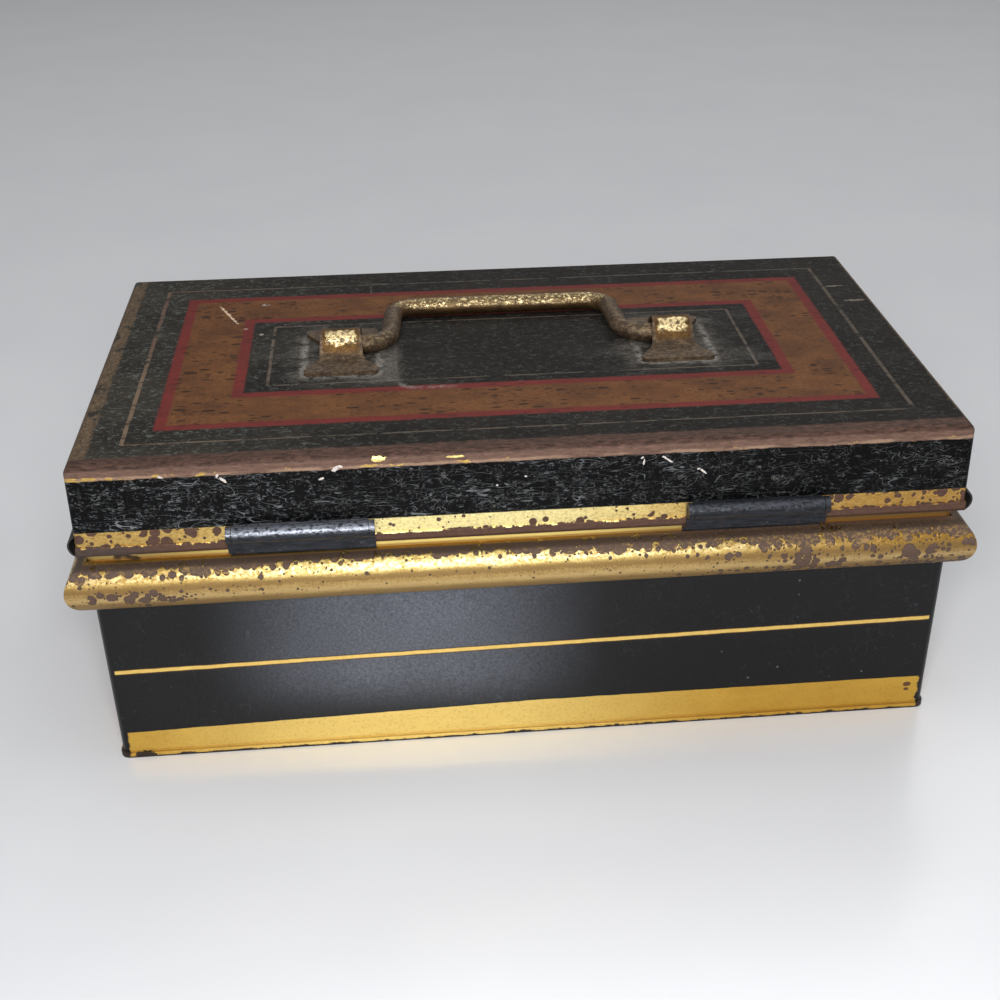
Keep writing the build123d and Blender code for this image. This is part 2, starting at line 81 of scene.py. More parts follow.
# Dust and damage on the lid's top
EAR_FOOT = (9.0, 15.0)  # half size of what the dust lies round
SMEAR_CORNER = (30.0, 24.6)  # middle of the arc on which the wiped smear turns
SMEAR_RADIUS = 5.2
SCRATCH = (91, -35.8)  # middle of the slanted scratch
SCRATCH_ALONG = (-0.393, 0.919)
MARKS = (  # place, half size, strength
    ((79.3, -44.1), (1.4, 0.9), 0.75), ((79.2, -17.6), (0.8, 0.7), 0.75),
    ((84.6, -23.0), (0.7, 0.6), 0.75), ((-117.3, -41.0), (3.2, 0.7), 0.35),
    ((-120.5, -27.0), (3.6, 0.9), 0.35), ((43.8, -54.5), (0.25, 4), 0.15),
    ((40.6, -60.4), (3.0, 0.3), 0.15),
)

# The lid's walls: heights over which the gold band and the dark hem fade out upwards
WALL_GOLD_TOP = (7.2, 7.45)
HEM_TOP = (2.7, 2.9)
HEM_DARK_TOP = (0.6, 1.1)
CHIPS = (  # place along X, depth below the top, half size
    (42.2, 1.4, (1.9, 0.8)), (21.0, 1.8, (2.4, 0.35)),
)

# The body: gold line and band, level but for the hinge side, where they slope
GOLD_END_X = 123.0  # the gold stops here on the long walls, short of the corners
SHORT_WALL = (66.6, 67.0)  # nearer the middle than this along Y is a short wall
HINGE_WALL = (65.0, 66.5)
LINE_HEIGHT = 32.5
LINE_SLOPE = 0.0107
BAND_HEIGHT = 11.7
BAND_SLOPE = 0.0225
FOOT_TOP = (1.6, 2.2)  # top of the folded foot
BAND_CHIPS = (((-119.0, 8.8), (1.3, 0.9)), ((-118.9, 6.9), (0.8, 0.6)))
NECK_TOP = 3.8  # top of the gold strip above the moulding

# Telling inner faces from outer ones
DOWN_WEIGHT = 40.0  # what the lid's top counts for, beside its walls' distance in mm
INSIDE_TOP = (85, 86)  # the body's walls stay black inside above this
BOTTOM_SHEET_TOP = (1.0, 1.3)  # above the bottom sheet's upper face

# Crumbs of white paint on the lid's hinge side: middle X and Z, length, width, tilt
CRUMBS = (
    (84.7, 95.9, 2.6, 0.9, -40), (86.2, 97.2, 1.3, 0.7, 60), (58.2, 94.7, 1.6, 0.8, 20),
    (54.2, 97.5, 2.4, 1.2, 35), (52.8, 98.3, 1.4, 0.8, -20), (9.7, 90.0, 0.7, 0.5, 0),
    (-31.7, 95.0, 1.9, 0.6, 80), (-31.2, 96.4, 1.0, 0.5, 30), (-38.8, 95.2, 3.0, 0.6, -35),
    (-37.4, 96.3, 1.2, 0.5, -10), (-48.7, 91.2, 2.6, 0.6, -38), (-47.4, 92.0, 1.0, 0.5, 10),
    (1.6, 92.4, 0.7, 0.5, 0), (101.5, 97.6, 1.5, 0.6, -15),
)
CRUMB_THICK = 0.22
CRUMB_SWELL = 0.28

# Camera, fitted to the photo: the frame's right, up and view directions, place in mm
VIEW_RIGHT = (-0.99479, 0.10190, -0.00263)
VIEW_UP = (-0.05033, -0.46857, 0.88199)
VIEW_FORWARD = (-0.08864, -0.87753, -0.47126)
VIEW_PLACE = (34.695, 443.523, 287.886)
FOCAL_LENGTH = 54.21
SENSOR_WIDTH = 36.0
SHIFT = (-0.0414, -0.0133)

# Lamps in metres: name, place, size, power. All face LAMP_AIM
LAMP_AIM = (0, 0, 0.05)
LAMPS = (
    ("key", (0.045, 0.47, 0.315), (0.14, 0.1), 2.2),
    ("top", (0.1, 0.3, 1.5), (1.6, 1.6), 7.5),
    ("front", (-0.4, -1.1, 1.3), (1.2, 0.9), 6.5),
    ("side", (1.3, -0.1, 0.9), (0.9, 0.8), 4.5),
    ("far_side", (-1.3, 0.1, 0.9), (0.9, 0.8), 4),
)
FLOOR_REACH = 6.0
ROOM_COLOUR = (0.82, 0.82, 0.84, 1)
ROOM_STRENGTH = 0.3


# ---- Node writing --------------------------------------------------------------------

def srgb(r, g, b):
    """A linear colour from 0-255 screen values."""
    def linear(v):
        v /= 255
        return v / 12.92 if v <= 0.04045 else ((v + 0.055) / 1.055) ** 2.4
    return (linear(r), linear(g), linear(b), 1.0)


class Value:
    """A socket that can be added, multiplied and so on, which writes the math nodes."""

    def __init__(self, paint, socket):
        self.paint = paint
        self.socket = socket

    def math(self, operation, other=None):
        node = self.paint.node("ShaderNodeMath", operation=operation)
        for slot, value in enumerate((self, other)):
            if value is not None:
                self.paint.put(node.inputs[slot], value)
        return Value(self.paint, node.outputs[0])

    def __add__(self, other):
        return self.math("ADD", other)

    def __sub__(self, other):
        return self.math("SUBTRACT", other)

    def __rsub__(self, other):
        return (self * -1.0) + other

    def __mul__(self, other):
        return self.math("MULTIPLY", other)

    def __truediv__(self, other):
        return self.math("DIVIDE", other)

    def abs(self):
        return self.math("ABSOLUTE")

    def min(self, other):
        return self.math("MINIMUM", other)

    def max(self, other):
        return self.math("MAXIMUM", other)

    def rise(self, low, high):
        """0 below low, 1 above high, smooth between."""
        node = self.paint.node("ShaderNodeMapRange", interpolation_type="SMOOTHSTEP")
        self.paint.put(node.inputs["Value"], self)
        self.paint.put(node.inputs["From Min"], low)
        self.paint.put(node.inputs["From Max"], high)
        return Value(self.paint, node.outputs["Result"])

    def fall(self, low, high):
        """1 below low, 0 above high, smooth between."""
        return 1.0 - self.rise(low, high)

    def between(self, low, high, soft):
        """1 from low to high, with edges soft to each side."""
        return self.rise(low - soft, low + soft) * self.fall(high - soft, high + soft)


class Paint:
    """A material and the calls that write its nodes."""

    def __init__(self, name):
        self.material = bpy.data.materials.new(name)
        self.material.use_nodes = True
        self.tree = self.material.node_tree
        self.tree.nodes.clear()
        self.shader = self.node("ShaderNodeBsdfPrincipled")
        output = self.node("ShaderNodeOutputMaterial")
        self.tree.links.new(self.shader.outputs[0], output.inputs["Surface"])
        own = self.node("ShaderNodeTexCoord")
        self.place = self.scaled(own.outputs["Object"], (1 / MM,) * 3)
        self.x, self.y, self.z = self.parts(self.place)
        self.nx, self.ny, self.nz = self.parts(own.outputs["Normal"])

    def node(self, kind, **settings):
        made = self.tree.nodes.new(kind)
        for name, value in settings.items():
            setattr(made, name, value)
        return made

    def put(self, socket, value):
        """Links a socket or Value, or sets a plain number or linear colour."""
        if isinstance(value, Value):
            value = value.socket
        if isinstance(value, bpy.types.NodeSocket):
            self.tree.links.new(value, socket)
        else:
            socket.default_value = value

    def set(self, **inputs):
        """Puts values on the shader's own sockets: underscores stand for spaces."""
        for name, value in inputs.items():
            self.put(self.shader.inputs[name.replace("_", " ")], value)

    def parts(self, vector):
        node = self.node("ShaderNodeSeparateXYZ")
        self.put(node.inputs[0], vector)
        return [Value(self, out) for out in node.outputs]

    def scaled(self, vector, factors, shift=(0, 0, 0)):
        node = self.node("ShaderNodeVectorMath", operation="MULTIPLY_ADD")
        self.put(node.inputs[0], vector)
        node.inputs[1].default_value = factors
        node.inputs[2].default_value = shift
        return node.outputs[0]

    def texture(self, kind, size, stretch, seed):
        """A texture node with features about size mm across, longer where stretched."""
        node = self.node(kind)
        factors = tuple(1 / (size * longer) for longer in stretch)
        self.put(node.inputs["Vector"], self.scaled(self.place, factors, (seed,) * 3))
        node.inputs["Scale"].default_value = 1.0
        return node

    def noise(self, size, stretch=(1, 1, 1), detail=2.0, rough=0.5, seed=0.0, bend=0.0):
        """Noise from 0 to 1."""
        node = self.texture("ShaderNodeTexNoise", size, stretch, seed)
        node.inputs["Detail"].default_value = detail
        node.inputs["Roughness"].default_value = rough
        node.inputs["Distortion"].default_value = bend
        return Value(self, node.outputs["Fac"])

    def curls(self, size, width, share, seed, stretch=(1, 1, 1), bend=0.6):
        """Fine curling hairlines, broken off here and there: a larger share leaves more."""
        level = self.noise(size, stretch, detail=1.5, seed=seed, bend=bend)
        line = (level - 0.5).abs().fall(width * 0.35, width)
        some = self.noise(size * 1.3, detail=2, seed=seed + 4.4)
        return line * some.rise(0.52 - share * 0.25, 0.62 - share * 0.25)

    def scatter(self, size, density, seed, stretch=(1, 1, 1), grow=0.55):
        """Round spots of mixed sizes, one to a cell of size mm: dense ones merge.

        Gives how far inside a spot a point lies, in cell sizes, below 0 outside.
        """
        node = self.texture("ShaderNodeTexVoronoi", size, stretch, seed)
        chance = self.parts(node.outputs["Color"])[0]
        ragged = (self.noise(size * 0.3, detail=2, seed=seed + 3.1) - 0.5) * 0.13
        radius = (chance - 1.0 + density) * grow
        return radius - Value(self, node.outputs["Distance"]) + ragged

    def mark(self, axes, where, reach, soft=0.4, ragged=0.0):
        """A small blot round a place, with its half size along each of two axes."""
        (first, second), (a, b) = axes, where
        u = (getattr(self, first) - a) / reach[0]
        v = (getattr(self, second) - b) / reach[1]
        round_it = u * u + v * v
        if ragged:
            round_it = round_it + (self.noise(0.9, detail=3, seed=a) - 0.5) * ragged
        return round_it.fall(1 - soft, 1 + soft)

    def mix(self, factor, under, over):
        """Between two colours, each a socket or screen values."""
        node = self.node("ShaderNodeMix", data_type="RGBA", clamp_factor=True)
        self.put(node.inputs[0], factor)
        for slot, colour in ((6, under), (7, over)):
            self.put(node.inputs[slot], srgb(*colour) if isinstance(colour, tuple) else colour)
        return node.outputs[2]

    def over(self, coat, *layers):
        """Lays colours over a coat in turn: each layer is a mask and a colour."""
        for mask, colour in layers:
            coat = self.mix(mask, coat, colour)
        return coat

    def blend(self, factor, under, over):
        """Between two numbers."""
        node = self.node("ShaderNodeMix", data_type="FLOAT", clamp_factor=True)
        self.put(node.inputs[0], factor)
        self.put(node.inputs[2], under)
        self.put(node.inputs[3], over)
        return Value(self, node.outputs[0])

    def bump(self, height, depth):
        """Raises the surface by height (0 to 1) times depth mm."""
        node = self.node("ShaderNodeBump")
        node.inputs["Distance"].default_value = depth * MM
        self.put(node.inputs["Height"], height)
        self.put(self.shader.inputs["Normal"], node.outputs[0])


def dress(material, *names):
    """Gives CAD nodes their material."""
    for name in names:
        slots = nodes[name].data.materials
        slots.clear()
        slots.append(material)


def corner_distance(across, along):
    """Distance from a rectangle, from how far outside it a point is each way."""
    return (across * across + along * along).math("SQRT")


def plain_inside(p):
    """Thin dark varnish on the inner faces, slightly clouded."""
    cloud = p.noise(16, detail=5, rough=0.6, seed=48).rise(0.3, 0.75)
    specks = p.noise(0.9, detail=3, rough=0.7, seed=49).rise(0.6, 0.74)
    return p.over(p.mix(cloud, (48, 43, 37), (64, 54, 43)), (specks * 0.35, (88, 76, 62)))


# ---- The lid's top -------------------------------------------------------------------

def on_panel(p):
    """The black panel inside the band."""
    return (p.x.abs() - PANEL[0]).max(p.y.abs() - PANEL[1]).fall(-1, 0)


def frame_line(p, half, wide, wobble):
    """A thin line round a rectangle, with its thickness on the sides that face X and Y."""
    across_x = p.x.abs() - half[0] + wobble
    across_y = p.y.abs() - half[1] + wobble
    on_x = across_x.abs().fall(wide[0] * 0.6, wide[0]) * across_y.fall(-0.1, 0.1)
    on_y = across_y.abs().fall(wide[1] * 0.6, wide[1]) * across_x.fall(-0.1, 0.1)
    return on_x.max(on_y)


def top_black(p, streaks, grit, sand):
    """Streaky black, paler and more worn towards +X."""
    towards_left = p.x.rise(10, 125)
    patches = p.noise(18, (1.6, 0.9, 1), detail=3, seed=4)
    fluff = p.curls(1.8, 0.03, share=0.4, seed=61, stretch=(2.0, 0.8, 1))
    dark = p.mix(towards_left, (17, 14, 12), (27, 25, 22))
    light = p.mix(towards_left, (33, 28, 24), (53, 49, 42))
    return p.over(
        p.mix(patches.rise(0.35, 0.65) * 0.6 + grit.rise(0.4, 0.68) * 0.4, dark, light),
        (on_panel(p) * 0.35, (16, 15, 14)),
        (streaks.rise(0.6, 0.76) * 0.35, (72, 67, 58)),
        (grit.fall(0.3, 0.45) * 0.5, (10, 9, 8)),
        (sand.rise(0.62, 0.74) * (towards_left * 0.3 + 0.3), (96, 94, 84)),
        (fluff * (towards_left * 0.25 + 0.2), (108, 114, 108)),
    )


def top_brown(p, grit, sand):
    """Gold-brown, rubbed through in dark flecks, more so towards +X.

    Gives the colour and the flecks.
    """
    clouds = p.noise(9, (1.3, 0.9, 1), detail=4, rough=0.6, seed=21)
    smudge = p.noise(5, (1.7, 0.7, 1), detail=4, rough=0.65, seed=24).rise(0.54, 0.68)
    rubbed = p.noise(11, (1.6, 1, 1), detail=3, seed=22).rise(0.4, 0.62)
    rubbed = rubbed + p.x.rise(70, 100) * 0.45
    dashes = p.scatter(2.3, rubbed * 0.4 + 0.38, 23, (1.8, 0.7, 1), 0.66).rise(-0.05, 0.06)
    small = p.scatter(1.2, rubbed * 0.35 + 0.42, 26, (1.6, 0.8, 1)).rise(-0.06, 0.08)
    flecks = dashes.max(small * 0.7)
    pale = p.scatter(2.6, 0.14, 27, (1.8, 0.8, 1)).rise(-0.03, 0.03)
    brown = p.over(
        p.mix(clouds.rise(0.3, 0.7), (84, 53, 32), (108, 70, 40)),
        (grit.rise(0.42, 0.64) * 0.55, (64, 41, 27)),
        (sand.rise(0.6, 0.74) * 0.4, (136, 98, 60)),
        (smudge * 0.45, (64, 44, 30)),
        (flecks * 0.8, (40, 27, 20)),
        (pale * 0.55, (156, 122, 88)),
    )
    return brown, flecks


def top_red(p, grit, streaks, flecks):
    """Dull red, with the same wear as what lies beside it."""
    return p.over(
        p.mix(p.noise(5, (2, 1, 1), detail=4, seed=25), (82, 34, 30), (112, 42, 39)),
        (grit.rise(0.45, 0.68) * 0.5, (72, 44, 40)),
        (streaks.rise(0.58, 0.74) * 0.35, (70, 42, 36)),
        (flecks * 0.4, (56, 28, 24)),
    )


def lid_top(p):
    """Red and gold-brown band between two fine lines on streaky black.

    Gives the colour, and the flecks and streaks in it.
    """
    wobble = (p.noise(9, detail=2, seed=12) - 0.5) * 0.5
    streaks = p.noise(0.7, (9, 0.6, 1), detail=3, rough=0.6)
    grit = p.noise(0.6, (1.9, 0.9, 1), detail=4, rough=0.75, seed=9)
    sand = p.noise(0.42, (1.6, 0.9, 1), detail=2, rough=0.6, seed=10)
    brown, flecks = top_brown(p, grit, sand)

    outside = (p.x.abs() - BAND[0] + wobble).max(p.y.abs() - BAND[1] + wobble)
    frayed = p.noise(0.9, (2, 0.8, 1), detail=3, seed=29) - 0.5
    rub = (p.noise(2.2, (2.4, 0.8, 1), detail=3, seed=28) - 0.5) * 1.2
    on_band = (outside + frayed).between(-BAND_WIDTH, 0.0, 0.45)
    on_brown = (outside + rub).between(-BROWN[1], -BROWN[0], 0.45)

    worn = p.noise(4, (1.6, 0.8, 1), detail=4, rough=0.7, seed=15)
    fine = frame_line(p, OUTER_LINE, (0.75, 0.44), wobble)
    fine = fine.max(frame_line(p, INNER_LINE, (0.6, 0.45), wobble))
    pinker = p.x.rise(80, 100) * p.y.fall(-15, 10)
    line_tone = p.mix(p.x.rise(60, 110), (86, 77, 68), (114, 95, 78))
    line_tone = p.mix(pinker * 0.6, line_tone, (86, 62, 56))
    coat = p.over(
        top_black(p, streaks, grit, sand),
        (on_band, top_red(p, grit, streaks, flecks)),
        (on_brown, brown),
        (fine * worn.rise(0.34, 0.52) * 0.8, line_tone),
    )
    return coat, flecks, streaks


def foot_dust(p):
    """Dust round the ears' feet: a line just past them, and a soft halo."""
    rims, halos = [], []
    for side in (-1, 1):
        across = ((p.x - HANDLE_X - side * EAR_X).abs() - EAR_FOOT[0]).max(0.0)
        along = ((p.y - EAR_Y).abs() - EAR_FOOT[1]).max(0.0)
        reach = corner_distance(across, along)
        rims.append(reach.between(1.8, 3.8, 1.0))
        halos.append(reach.fall(2.4, 12.0))
    return rims[0].max(rims[1]), halos[0].max(halos[1])


def wiped_smear(p, fine, broken):
    """An edge of grey that runs along Y, turns and runs off along -X, and a wiped patch."""
    bend_x = (p.x - SMEAR_CORNER[0]).max(0.0)
    bend_y = (p.y - SMEAR_CORNER[1]).max(0.0)
    off = corner_distance(bend_x, bend_y) - SMEAR_RADIUS + (fine - 0.5) * 0.5
    streak = (off + (broken - 0.5) * 2.4).abs().fall(0.2, 1.7) * p.x.between(19.0, 44.0, 3.0)
    streak = streak * (bend_y.rise(0, 3) * 0.8 + 0.25) * broken.rise(0.34, 0.5)
    wiped = off.rise(-0.5, 1.0) * p.x.fall(37, 46) * p.y.fall(22, 28) * 0.5
    return streak.max(wiped) * p.y.between(-9.0, 31.0, 4.0)


def slanted_scratch(p):
    """One pale torn scratch near the band's corner."""
    x, y = p.x - SCRATCH[0], p.y - SCRATCH[1]
    along = x * SCRATCH_ALONG[0] + y * SCRATCH_ALONG[1]
    across = x * SCRATCH_ALONG[1] + y * -SCRATCH_ALONG[0]
    torn = p.noise(1.5, detail=5, rough=0.7, seed=78)
    return (across * across / 0.4 + along * along / 100 + torn * 5.0).fall(3.0, 3.3)


def lid_dust(p, coat):
    """Grey dust and old polish round the ears' feet, a wiped smear, and a few scratches."""
    cloud = p.noise(5, (1.6, 1, 1), detail=5, rough=0.7, seed=71)
    fine = p.noise(0.7, (1.6, 0.8, 1), detail=4, rough=0.75, seed=73).rise(0.38, 0.66)
    broken = p.noise(1.2, detail=3, seed=77)
    patchy = p.noise(3.0, detail=4, rough=0.65, seed=79).rise(0.38, 0.54)
    panel = on_panel(p)
    rim, halo = foot_dust(p)
    rim = rim * patchy * (fine * 0.6 + 0.25) * p.y.rise(-18, -6) * panel
    halo = halo * cloud.rise(0.36, 0.7) * (fine * 0.6 + 0.15) * panel
    smear = wiped_smear(p, fine, broken) * cloud.rise(0.28, 0.5) * (fine * 0.6 + 0.25)
    smoke = p.noise(13, (2.2, 0.9, 1), detail=4, rough=0.65, seed=75).rise(0.5, 0.72)
    smoke = smoke * fine * panel * p.x.abs().rise(12, 40)
    coat = p.over(
        coat,
        (smoke * 0.4, (108, 104, 98)),
        (halo, (126, 120, 112)),
        (smear * 0.8, (140, 135, 128)),
        (rim * 0.9, (150, 144, 136)),
        (slanted_scratch(p) * 0.85, (200, 176, 150)),
    )
    for place, reach, strength in MARKS:
        blot = p.mark(("x", "y"), place, reach) * broken.rise(0.36, 0.5)
        coat = p.mix(blot * strength, coat, (160, 150, 138))
    return coat


# ---- The lid's walls and edges -------------------------------------------------------

def crackle(p):
    """Black paint crazed into fine curling hairlines, more of them towards +X.

    Gives the colour, the hairlines and the grain.
    """
    cloud = p.noise(11, (2, 2, 1), detail=3, seed=51).rise(0.3, 0.7)
    crazed = p.x.rise(-125, 110) * 0.75 + 0.25
    grain = p.noise(0.55, (1.6, 1.6, 1), detail=3, rough=0.7, seed=55)
    tiny = p.curls(0.9, 0.05, share=-0.05, seed=52, stretch=(2.0, 2.0, 0.7), bend=0.4)
    small = p.curls(2.0, 0.02, share=0.1, seed=53, stretch=(2.2, 2.2, 0.6), bend=0.7)
    curly = p.curls(2.8, 0.013, share=0.3, seed=58, stretch=(1.5, 1.5, 0.9), bend=1.3)
    large = p.curls(5.0, 0.008, share=0.25, seed=54, stretch=(3.0, 3.0, 0.6), bend=1.0)
    long = p.curls(11.0, 0.0032, share=0.5, seed=57, stretch=(3.2, 3.2, 0.8), bend=2.6)
    side = p.over(
        p.mix(cloud, (2, 2, 2), (7, 7, 8)),
        (grain.rise(0.6, 0.76) * crazed * 0.22, (52, 54, 56)),
        (tiny * (cloud * 0.35 + 0.18) * crazed, (112, 116, 120)),
        (small * (cloud * 0.3 + 0.35) * crazed, (134, 138, 140)),
        (large * (crazed * 0.5 + 0.2), (132, 136, 138)),
        (curly * (0.55 - crazed * 0.3), (122, 120, 114)),
        (long * 0.6, (120, 122, 122)),
    )
    return side, tiny.max(small).max(large).max(long), grain


def wall_gold(p, grain):
    """Gold paint, with a painted highlight in the middle of the hinge side, and duller towards
    its ends.
    """
    # Painted highlight: paler gold in the middle of the hinge side
    wall_highlight = p.x.between(-25.0, 68.0, 30.0)
    return p.over(
        p.mix(p.noise(3, detail=3, seed=33), (206, 164, 78), (246, 222, 146)),
        (p.x.fall(-110, -10) * 0.75, (172, 126, 62)),
        (p.x.rise(55, 110) * 0.6, (168, 132, 74)),
        (wall_highlight * 0.75, (252, 240, 176)),
        (grain.rise(0.46, 0.66) * (0.55 - wall_highlight * 0.2), (140, 104, 46)),
    )


def wall_band(p, coat, wall, grain):
    """Adds the gold band and the dark hem along the wall's lower edge, with rust spots.

    Gives the coat, and where the band, its rust and the hem are.
    """
    lower = p.z - LID_BOTTOM
    ragged = (p.noise(2.0, (1.3, 1.3, 1), detail=4, rough=0.6, seed=31) - 0.5) * 2.4
    torn = lower + ragged * 1.6
    band = (lower + ragged * 0.15).fall(*WALL_GOLD_TOP) * torn.rise(*HEM_TOP) * wall
    hem = torn.fall(*HEM_TOP) * wall
    hem_dark = (lower + ragged * 0.2).fall(*HEM_DARK_TOP) * wall

    right_wear = p.x.fall(-125, 20)
    left_wear = p.x.rise(58, 90) * 0.36
    spot = p.scatter(3.4, right_wear * 0.36 + left_wear * 0.6 + 0.6, 35, grow=0.66)
    dots = p.scatter(1.7, right_wear * 0.42 + left_wear * 0.5 + 0.48, 36, grow=0.66)
    rust = spot.rise(-0.03, 0.03).max(dots.rise(-0.04, 0.04))
    rust_tone = p.mix(p.noise(1.0, detail=4, rough=0.65, seed=38), (64, 46, 39), (102, 76, 64))
    coat = p.over(
        coat,
        (band, wall_gold(p, grain)),
        (rust * band, rust_tone),
        (hem, rust_tone),
        (hem_dark * 0.75, (56, 38, 24)),
        (hem * p.x.rise(100, 116) * 0.6, (66, 60, 56)),
    )
    return coat, band, rust, hem


def edge_tones(p, depth, lip_depth, grain, streaks):
    """The hinge edge's streaked brown with a painted highlight, paler over its rounded crest and
    on its lip, and the other edges' old gold.
    """
    blotch = p.noise(6, (2.4, 1, 1), detail=3, seed=46)
    lip = lip_depth.between(3.1, 4.0, 0.3) * blotch.rise(0.36, 0.56)
    brown = p.over(
        p.mix(streaks.rise(0.32, 0.68), (44, 31, 26), (92, 68, 58)),
        (blotch.rise(0.4, 0.65) * 0.4, (58, 44, 38)),
        (grain.rise(0.5, 0.68) * 0.4, (46, 34, 30)),
        # Painted highlight over the rounded crest and on the lip; the lip also carries a pale
        # line of worn paint
        (depth.rise(0.7, 1.6) * (streaks * 0.5 + 0.15), (142, 112, 98)),
        (lip * 0.7, (162, 134, 112)),
    )
    side_streaks = p.noise(1.0, (0.8, 3.0, 1), detail=5, rough=0.7, seed=44)
    old_gold = p.over(
        p.mix(side_streaks.rise(0.3, 0.7), (62, 51, 41), (92, 76, 58)),
        (grain.rise(0.52, 0.68) * 0.5, (128, 110, 86)),
    )
    return brown, old_gold


def worn_edges(p, coat, depth, grain):
    """Wears the top's edges to brown, streaked along them, with gold left on the wall, and
    paints a pale highlight along the far and right edges.

    Gives the coat, where the hinge edge and the left edge are worn, the streaks, where gold is
    left, and the unworn gold in the chips.
    """
    from_hinge = p.y * -1.0 + LID_Y
    from_left = p.x * -1.0 + LID_X
    from_right = p.x + LID_X
    from_front = p.y + LID_Y
    fray = (p.noise(2.2, (2.2, 1, 1), detail=5, rough=0.7, seed=41) - 0.5) * 2.6
    frayed_depth = depth + fray * 0.6
    lip_depth = depth + fray * 0.5
    hinge_edge = (from_hinge + fray).fall(5.0, 6.3) * lip_depth.fall(3.8, 4.2)
    left_edge = (from_left + fray * 1.2).fall(4.4, 5.6) * frayed_depth.fall(1.6, 2.4)
    right_edge = (from_right + fray * 0.7).fall(1.2, 1.9) * frayed_depth.fall(1.4, 2.0)
    front_edge = (from_front + fray * 0.7).fall(1.2, 1.9) * frayed_depth.fall(1.4, 2.0)

    streaks = p.noise(1.0, (3.0, 0.9, 0.7), detail=5, rough=0.72, seed=43)
    brown, old_gold = edge_tones(p, depth, lip_depth, grain, streaks)
    gaps = p.noise(4, (1, 1.8, 1), detail=4, rough=0.65, seed=45).rise(0.34, 0.44)
    # Painted highlight: a pale line along the far and right edges, where the rounded edge
    # catches the light
    edge_highlight = from_front.min(from_right).between(0.5, 1.2, 0.2) * depth.fall(0.6, 1.0)

    share = p.noise(2.4, (2.2, 1, 1), detail=4, rough=0.65, seed=47)
    share = share + p.x.rise(60, 115) * 0.13
    gold_left = lip_depth.between(2.9, 4.0, 0.2) * from_hinge.fall(0.5, 1)
    gold_left = gold_left * share.rise(0.63, 0.68)
    chips = [
        p.mark(("x", "z"), (x, LID_TOP - down), reach, 0.2, 4.0) for x, down, reach in CHIPS
    ]
    fresh_gold = chips[0].max(chips[1]) * from_hinge.fall(2, 3)
    coat = p.over(
        coat,
        (left_edge.max(front_edge).max(right_edge) * gaps, old_gold),
        (edge_highlight * 0.5, (122, 112, 100)),
        (hinge_edge, brown),
        (gold_left * 0.85, (204, 168, 88)),
        (fresh_gold, (238, 214, 136)),
    )
    return coat, hinge_edge, left_edge, streaks, gold_left, fresh_gold


def lid_paint():
    """Black japan on the lid: lined on top, crackled and worn on the walls."""
    p = Paint("lid_japan")
    depth = p.z * -1.0 + LID_TOP
    top = depth.fall(0.5, 1.3)
    wall = 1.0 - top
    coat, flecks, top_streaks = lid_top(p)
    side, hairs, grain = crackle(p)
    coat = p.mix(wall, lid_dust(p, coat), side)
    coat, band, rust, hem = wall_band(p, coat, wall, grain)
    coat, hinge_edge, left_edge, streaks, gold_left, fresh_gold = worn_edges(
        p, coat, depth, grain
    )

    # Inner faces look towards the lid's middle, or down at the box
    inner = (p.x * p.nx + p.y * p.ny + p.nz * DOWN_WEIGHT).fall(-1, 1)
    outer = 1.0 - inner
    p.set(Base_Color=p.mix(inner, coat, plain_inside(p)))

    gilt = (band * (1.0 - rust)).max(gold_left).max(fresh_gold) * outer
    rough = p.blend(top, 0.34, 0.56)
    rough = p.blend(hinge_edge.max(left_edge), rough, 0.46)
    rough = p.blend(hem.max(rust * band), rough, 0.5)
    p.set(Metallic=gilt * 0.75, Roughness=p.blend(gilt, rough, 0.34) + grain * 0.08)
    p.set(Specular_IOR_Level=0.1)
    relief = hairs * wall * 0.5 + grain * 0.3 + top_streaks * top * 0.12
    relief = relief + streaks * hinge_edge * 0.9 - flecks * top * 0.25 - rust * band * 0.4
    relief = relief + grain * gilt * 0.4
    p.bump(relief * outer, 0.18)
    return p.material


# ---- The body ------------------------------------------------------------------------

def body_black(p, cloud, fine):
    """Smooth black, with a painted bluish reflection of the lit floor in the middle of the hinge
    side.
    """
    # Painted reflection: a soft bluish sheen in the middle of the hinge side, mottled
    painted_reflection = p.x.between(0.0, 74.0, 26.0) * (p.z - p.x * 0.05).rise(6, 26) * p.ny.rise(0.5, 0.8)
    reflection_mottle = p.noise(0.8, detail=4, rough=0.75, seed=9)
    painted_reflection = painted_reflection * (cloud * 0.5 + 0.5) * (reflection_mottle * 1.5 - 0.2).max(0.05)
    specks = p.scatter(4.5, 0.3, seed=8, grow=0.3).rise(-0.02, 0.04)
    hairs = p.curls(9, 0.004, share=0.15, seed=5, bend=2.0)
    return p.over(
        p.mix(cloud, (5, 5, 6), (14, 14, 15)),
        (painted_reflection * 0.95, (128, 132, 144)),
        (specks * 0.6, (112, 114, 114)),
        (hairs * 0.3, (90, 96, 100)),
        (fine.rise(0.6, 0.72) * 0.3, (72, 74, 76)),
    )


